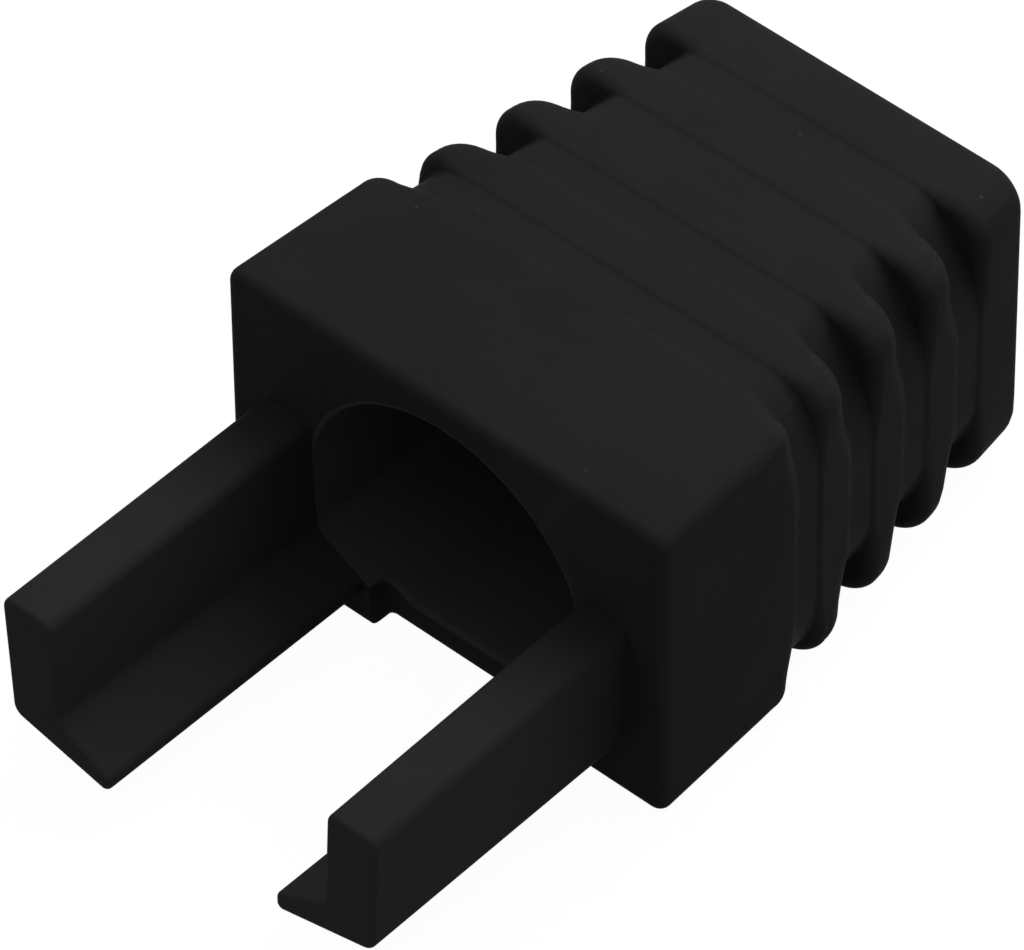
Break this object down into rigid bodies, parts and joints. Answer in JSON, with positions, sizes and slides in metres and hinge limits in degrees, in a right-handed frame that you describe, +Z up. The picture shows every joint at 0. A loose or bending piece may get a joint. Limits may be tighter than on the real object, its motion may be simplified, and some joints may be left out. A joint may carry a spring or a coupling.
{
  "type": "strain relief boot",
  "caption": "Soft moulded boot for a network plug: a ribbed tapering sleeve over the cable, with an arched pocket and two channel arms in front.",
  "frame": {"origin": "middle of the footprint, on the flat underside", "axes": "+Y runs from the arm tips to the cable end, +X across the boot, +Z up"},
  "size_m": [0.0134, 0.0232, 0.0089],
  "materials": {
    "boot_pvc": "near-black soft PVC with a fine matte mould texture and a faint satin sheen"
  },
  "bodies": {
    "root": {"strain_relief_boot": "boot_pvc"}
  },
  "joints": []
}
